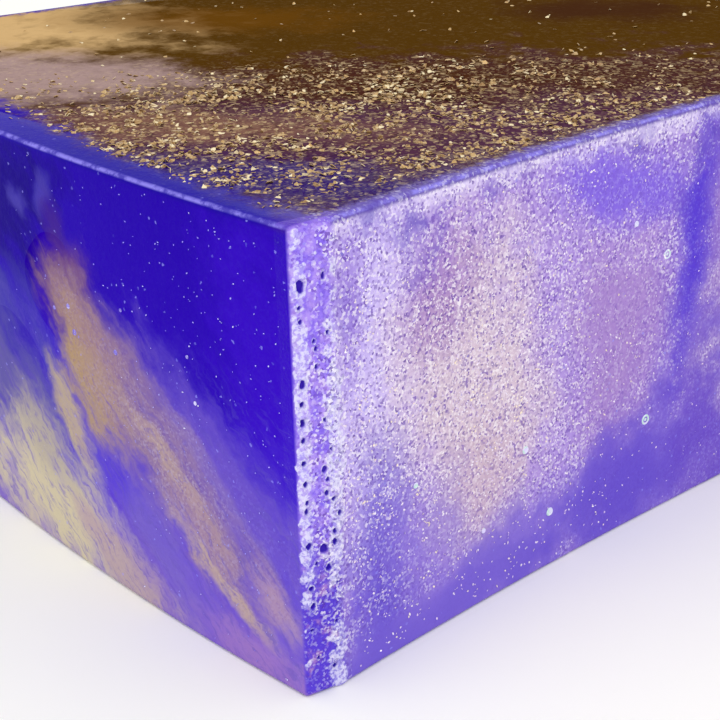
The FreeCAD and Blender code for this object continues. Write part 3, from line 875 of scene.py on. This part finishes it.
def plates(name, centres, facing, radii, thickness, stretch):
    """Loose thin plates with six uneven corners, each lying along its own facing direction."""
    count = len(centres)
    facing = facing / np.linalg.norm(facing, axis=1, keepdims=True)
    any_way = rng.normal(size=(count, 3))
    first = np.cross(facing, any_way)
    first /= np.linalg.norm(first, axis=1, keepdims=True)
    second = np.cross(facing, first)
    angles = np.linspace(0, 2 * np.pi, 7)[:-1] + rng.uniform(-0.3, 0.3, (count, 6))
    reach = radii[:, None] * rng.uniform(0.7, 1.15, (count, 6))
    long = rng.uniform(1.0, stretch, count)[:, None]
    flat = (first[:, None] * (reach * long * np.cos(angles))[..., None]
            + second[:, None] * (reach / long * np.sin(angles))[..., None])
    half = facing[:, None] * thickness / 2
    points = np.concatenate([centres[:, None] + flat + half, centres[:, None] + flat - half], axis=1)
    start = np.arange(count)[:, None] * 12
    upper = start + np.arange(6)
    lower = start + 6 + np.arange(6)[::-1]
    turn = np.arange(6)
    following = (turn + 1) % 6
    sides = np.stack([start + following, start + turn, start + 6 + turn, start + 6 + following], axis=-1)
    return make_piece(name, points.reshape(-1, 3), [upper, lower, sides.reshape(-1, 4)])


def scatter(count, low, high, chance):
    """Random places in a box, more of them where chance(place) from 0 to 1 is higher."""
    found = []
    total = 0
    while total < count:
        batch = rng.uniform(low, high, (20000, len(low)))
        batch = batch[rng.uniform(0, 1, len(batch)) < chance(batch)]
        found.append(batch)
        total += len(batch)
    return np.concatenate(found)[:count]


def edge_distances(places):
    """How far in from the end walls, and from the side walls, a place on the top is."""
    x, y = places[:, 0], places[:, 1]
    end_edge = HALF_Y - END_BULGE * (x / (HALF_X - STRIP_SET_IN)) ** 2
    side_edge = HALF_X - SIDE_HOLLOW * (1 - (np.minimum(np.abs(y), HEEL_Y) / HEEL_Y) ** 2)
    return end_edge - np.abs(y), side_edge - np.abs(x)


def flake_chance(places):
    x, y = places[:, 0], places[:, 1]
    from_end, from_side = edge_distances(places)
    from_pool = x - 5.0 - (y + 16.0) / 2
    band = smoothstep(-5.0, 8.0, from_pool) * smoothstep(7.0, -22.0, y)
    solid = np.stack([x, y, np.zeros_like(x)], axis=1)
    clumps = smoothstep(-0.3, 0.5, noise(solid, 1.7, 21) + 0.5 * noise(solid, 0.7, 22))
    inside = smoothstep(1.0, 2.6, from_end) * smoothstep(0.5, 1.3, from_side)
    return inside * (0.015 + 0.985 * band) * (0.12 + 0.88 * clumps)


def leaning(facing, spread_angle):
    """The facing directions, each knocked aside at random."""
    return facing + rng.normal(0, spread_angle, facing.shape)


on_skin = scatter(FLAKE_COUNT, (-26.0, -38.5), (26.5, 38.5), flake_chance)
heights = TALL - MICA_SUNK + rng.uniform(-0.02, 0.03, FLAKE_COUNT)
facing = leaning(np.tile((0.0, 0.0, 1.0), (FLAKE_COUNT, 1)), 0.42)
radii = 0.08 + 0.17 * rng.beta(1.3, 2.2, FLAKE_COUNT)
flakes = plates("mica_flakes", np.column_stack([on_skin, heights]), facing, radii, 0.03, 1.4)
# Gold mica flakes: real plates whose palest, near-white shade is partly painted glint.
gold_flakes = flake_material("gold_flakes", "c4a068", "9a7448", "f6e6bc", 0.3, 0.35)
dress(flakes, gold_flakes, "mica_flake", "mica_flakes_top")


def on_end_wall(x, z):
    """Places and facing directions on the front end wall."""
    y = -HALF_Y + END_BULGE * (x / (HALF_X - STRIP_SET_IN)) ** 2
    slope = 2 * END_BULGE * x / (HALF_X - STRIP_SET_IN) ** 2
    facing = np.stack([slope, -np.ones_like(x), np.zeros_like(x)], axis=1)
    return np.stack([x, y, z], axis=1), facing


def on_long_wall(y, z):
    """Places and facing directions on the right long wall."""
    x = HALF_X - SIDE_HOLLOW * (1 - (y / HEEL_Y) ** 2)
    slope = -2 * SIDE_HOLLOW * y / HEEL_Y ** 2
    facing = np.stack([np.ones_like(x), slope, np.zeros_like(x)], axis=1)
    return np.stack([x, y, z], axis=1), facing


def pearl_chance(places):
    y, z = places[:, 0], places[:, 1]
    solid = np.stack([np.zeros_like(y), y, z], axis=1)
    cloud = np.exp(-((y + 27.0) / 9.0) ** 2 - ((z - 15.0) / 10.0) ** 2)
    clumps = smoothstep(-0.5, 0.6, noise(solid, 2.0, 31) + 0.6 * noise(solid, 0.7, 32))
    return (0.04 + 0.96 * cloud) * (0.3 + 0.7 * clumps)


spots = scatter(PEARL_COUNT, (-35.6, 0.5), (35.0, 24.7), pearl_chance)
centres, facing = on_long_wall(spots[:, 0], spots[:, 1])
facing = leaning(facing, 0.3)
pearl = plates("pearl_flakes", centres, facing, rng.uniform(0.03, 0.075, PEARL_COUNT), 0.02, 1.4)
# Pearl mica flakes: real plates whose near-white shades are partly painted glints.
dress(pearl, flake_material("pearl_flakes", "f4ecfc", "dcc8ee", "fff0d4", 0.3, 0.3), "pearl_mica_soap")


def speck_chance(places):
    x, z = places[:, 0], places[:, 1]
    return 0.12 + 0.88 * smoothstep(6.0, 26.0, x) * (0.4 + 0.6 * smoothstep(4.0, 20.0, z))


spots = scatter(SPECK_COUNT, (-26.0, 0.5), (26.4, 24.6), speck_chance)
centres, facing = on_end_wall(spots[:, 0], spots[:, 1])
facing = leaning(facing, 0.25)
specks = plates("mica_specks", centres, facing, rng.uniform(0.02, 0.05, SPECK_COUNT), 0.02, 1.4)
# Mica specks: real plates whose pale shades are partly painted glints.
dress(specks, flake_material("mica_specks", "a8a0f4", "8070e4", "e8e8ff", 0.3, 0.2), "violet_deep_soap")


# From the outside in, in radii: distance from the middle, height over the wall.
BUBBLE_PROFILE = [
    (1.35, -0.12), (1.25, 0.03), (1.08, 0.22), (0.9, 0.2), (0.74, 0.02), (0.5, -0.02), (0.25, 0.1),
]


def bubbles(name, centres, facing, radii, around=20):
    """Small bubbles that broke the surface: each a raised rim round a shallow dish with a dome in it."""
    angles = np.linspace(0, 2 * np.pi, around + 1)[:-1]
    points, quads, fans = [], [], []
    start = 0
    rings = len(BUBBLE_PROFILE)
    for centre, outwards, radius in zip(centres, facing, radii):
        outwards = outwards / np.linalg.norm(outwards)
        first = np.cross(outwards, (0.0, 0.0, 1.0))
        first /= np.linalg.norm(first)
        second = np.cross(outwards, first)
        circle = np.outer(np.cos(angles), first) + np.outer(np.sin(angles), second)
        for reach, height in BUBBLE_PROFILE:
            points.append(centre + radius * (reach * circle + height * outwards))
        points.append((centre + radius * 0.14 * outwards)[None])
        points.append((centre - radius * 0.14 * outwards)[None])
        turn = np.arange(around)
        following = (turn + 1) % around
        for ring in range(rings - 1):
            low, high = start + ring * around, start + (ring + 1) * around
            quads.append(np.stack([low + turn, low + following, high + following, high + turn], axis=1))
        last = start + (rings - 1) * around
        top, bottom = start + rings * around, start + rings * around + 1
        fans.append(np.stack([last + turn, last + following, np.full(around, top)], axis=1))
        fans.append(np.stack([start + following, start + turn, np.full(around, bottom)], axis=1))
        start += rings * around + 2
    piece = make_piece(name, np.concatenate(points), [np.concatenate(quads), np.concatenate(fans)])
    piece.data.polygons.foreach_set("use_smooth", np.ones(len(piece.data.polygons), dtype=bool))
    return piece


# Place along the wall, height and radius of each bubble.
FRONT_BUBBLES = [
    (9.1, 16.4, 0.12), (9.5, 15.0, 0.14), (7.6, 15.9, 0.1), (13.4, 15.0, 0.12), (14.2, 17.6, 0.08),
    (20.0, 14.2, 0.09), (19.6, 16.6, 0.08), (-14.0, 18.0, 0.14), (-20.0, 12.0, 0.12),
]
SIDE_BUBBLES = [
    (-10.5, 16.7, 0.24), (-11.6, 6.6, 0.26), (-19.9, 3.6, 0.2), (-22.1, 8.3, 0.18), (-30.6, 9.4, 0.13),
    (-13.4, 19.2, 0.14), (-25.4, 4.6, 0.12), (8.0, 14.0, 0.22), (22.0, 9.0, 0.2), (15.0, 18.5, 0.15),
]
front = np.array(FRONT_BUBBLES)
side = np.array(SIDE_BUBBLES)
front_places, front_facing = on_end_wall(front[:, 0], front[:, 1])
side_places, side_facing = on_long_wall(side[:, 0], side[:, 1])
# The bubbles' pale shades, white on the side ones, are partly painted highlights: the bright spot and rim
# that light makes on a bubble.
end_bubbles = bubbles("air_bubbles_end", front_places, front_facing, front[:, 2])
dress(end_bubbles, flake_material("end_bubbles", "8a78e4", "6c58d8", "d6d0ff", 0.15, 0.0), "violet_deep_soap")
side_bubbles = bubbles("air_bubbles_side", side_places, side_facing, side[:, 2])
bubbles_painted_highlight = flake_material("side_bubbles", "dcd4ff", "c4e4e0", "ffffff", 0.12, 0.0)
dress(side_bubbles, bubbles_painted_highlight, "pearl_mica_soap")


# ---- floor, light and camera ----------------------------------------------------------------------

def build_floor():
    """A plain pale table top, a hair below the bar and far wider than it."""
    reach, count, drop = 2.4, 48, 0.00002
    places = np.linspace(-reach, reach, count)
    x, y = (grid.ravel() for grid in np.meshgrid(places, places, indexing="ij"))
    z = np.full_like(x, -drop)
    quads = grid_quads(np.arange(count * count).reshape(count, count))
    mesh = bpy.data.meshes.new("floor")
    mesh.from_pydata(np.stack([x, y, z], axis=1).tolist(), [], quads.tolist())
    floor = bpy.data.objects.new("floor", mesh)
    bpy.context.scene.collection.objects.link(floor)
    material, g = new_material("floor")
    place = g.node("ShaderNodeTexCoord").outputs["Object"]
    mottle = g.noise(place, 9.0, 3.0, 0.5)
    paint = g.mix(g.ramp(mottle, 0.3, 0.7), colour("fcfcf5"), colour("fefef8"))
    g.surface(paint, 0.85, 0.1)
    mesh.materials.append(material)


WORLD_STRENGTH = 0.96
AIM = (0.0, 0.0, 0.01)                      # where the lights point, in metres
LIGHTS = [                                  # name, place in metres, size, power, colour
    ("key", (0.30, -0.12, 0.42), 0.22, 0.42, (1.0, 0.98, 0.95)),
    ("fill", (-0.15, -0.45, 0.30), 0.30, 0.18, (1.0, 1.0, 1.0)),
]


def add_light(name, place, size, power, tint):
    light = bpy.data.lights.new(name, "AREA")
    light.shape = "DISK"
    light.size = size
    light.energy = power
    light.color = tint
    lamp = bpy.data.objects.new(name, light)
    lamp.location = place
    lamp.rotation_euler = (Vector(AIM) - Vector(place)).to_track_quat("-Z", "Y").to_euler()
    bpy.context.scene.collection.objects.link(lamp)


def light_scene():
    world = bpy.data.worlds.new("studio")
    world.use_nodes = True
    background = world.node_tree.nodes["Background"]
    background.inputs["Color"].default_value = (1.0, 1.0, 1.0, 1.0)
    background.inputs["Strength"].default_value = WORLD_STRENGTH
    bpy.context.scene.world = world
    for light in LIGHTS:
        add_light(*light)
    bpy.context.scene.view_settings.view_transform = "Standard"


CAMERA_PLACE = (79.12, -76.01, 46.66)       # millimetres
CAMERA_TURN = (51.18, 23.63, -1.26)         # azimuth, elevation and roll, in degrees
CAMERA_LENS = 76.86


def add_camera():
    azimuth, elevation, roll = (math.radians(angle) for angle in CAMERA_TURN)
    back = Vector((math.sin(azimuth) * math.cos(elevation), -math.cos(azimuth) * math.cos(elevation),
                   math.sin(elevation)))
    right = Vector((math.cos(azimuth), math.sin(azimuth), 0.0))
    up = back.cross(right)
    rolled_right = math.cos(roll) * right + math.sin(roll) * up
    rolled_up = -math.sin(roll) * right + math.cos(roll) * up
    data = bpy.data.cameras.new("camera")
    data.lens = CAMERA_LENS
    data.sensor_width = 36.0
    data.clip_start = 0.005
    camera = bpy.data.objects.new("camera", data)
    bpy.context.scene.collection.objects.link(camera)
    turn = Matrix((rolled_right, rolled_up, back)).transposed().to_4x4()
    camera.matrix_world = Matrix.Translation(Vector(CAMERA_PLACE) * MM) @ turn
    bpy.context.scene.camera = camera


build_floor()
light_scene()
add_camera()

bpy.context.view_layer.update()
